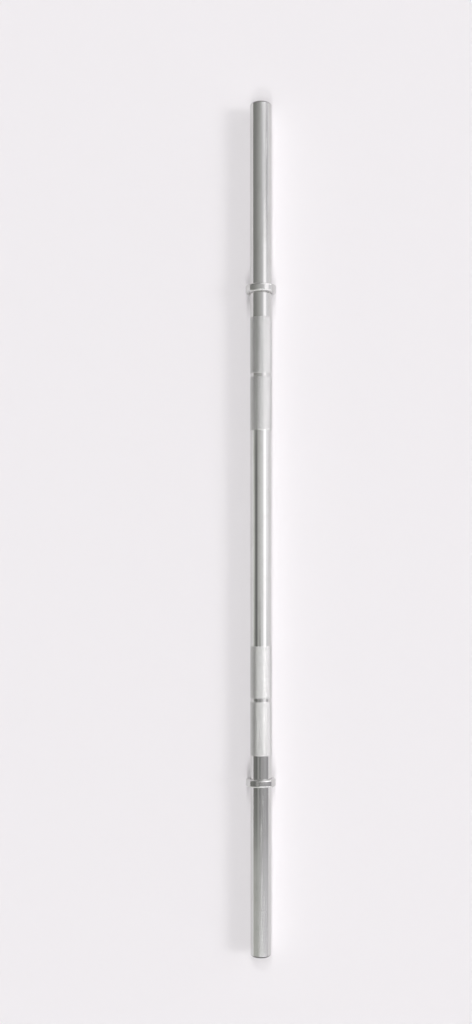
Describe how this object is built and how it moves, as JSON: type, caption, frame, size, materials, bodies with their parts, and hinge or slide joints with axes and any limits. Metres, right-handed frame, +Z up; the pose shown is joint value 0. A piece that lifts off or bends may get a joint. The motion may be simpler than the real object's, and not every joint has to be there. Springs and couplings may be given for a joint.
{
  "type": "standard barbell",
  "caption": "Short one-piece chrome barbell: straight solid bar with smooth plate sleeves, knurled grips, ring marks, a polished centre and pinned ring collars.",
  "frame": {"origin": "centre of the bar, on its axis", "axes": "+X along the bar towards the right collar, +Z up with the bar lying on its two ring collars, +Y away from a viewer who stands in front of it"},
  "size_m": [1.2, 0.043, 0.043],
  "materials": {
    "bar_chrome": "polished, with matt knurled grips",
    "collar_chrome": "polished",
    "pin_steel": "dark spring steel"
  },
  "bodies": {
    "root": {"bar": "bar_chrome", "left_collar": "collar_chrome", "right_collar": "collar_chrome", "left_collar_pin": "pin_steel", "right_collar_pin": "pin_steel"}
  },
  "joints": []
}
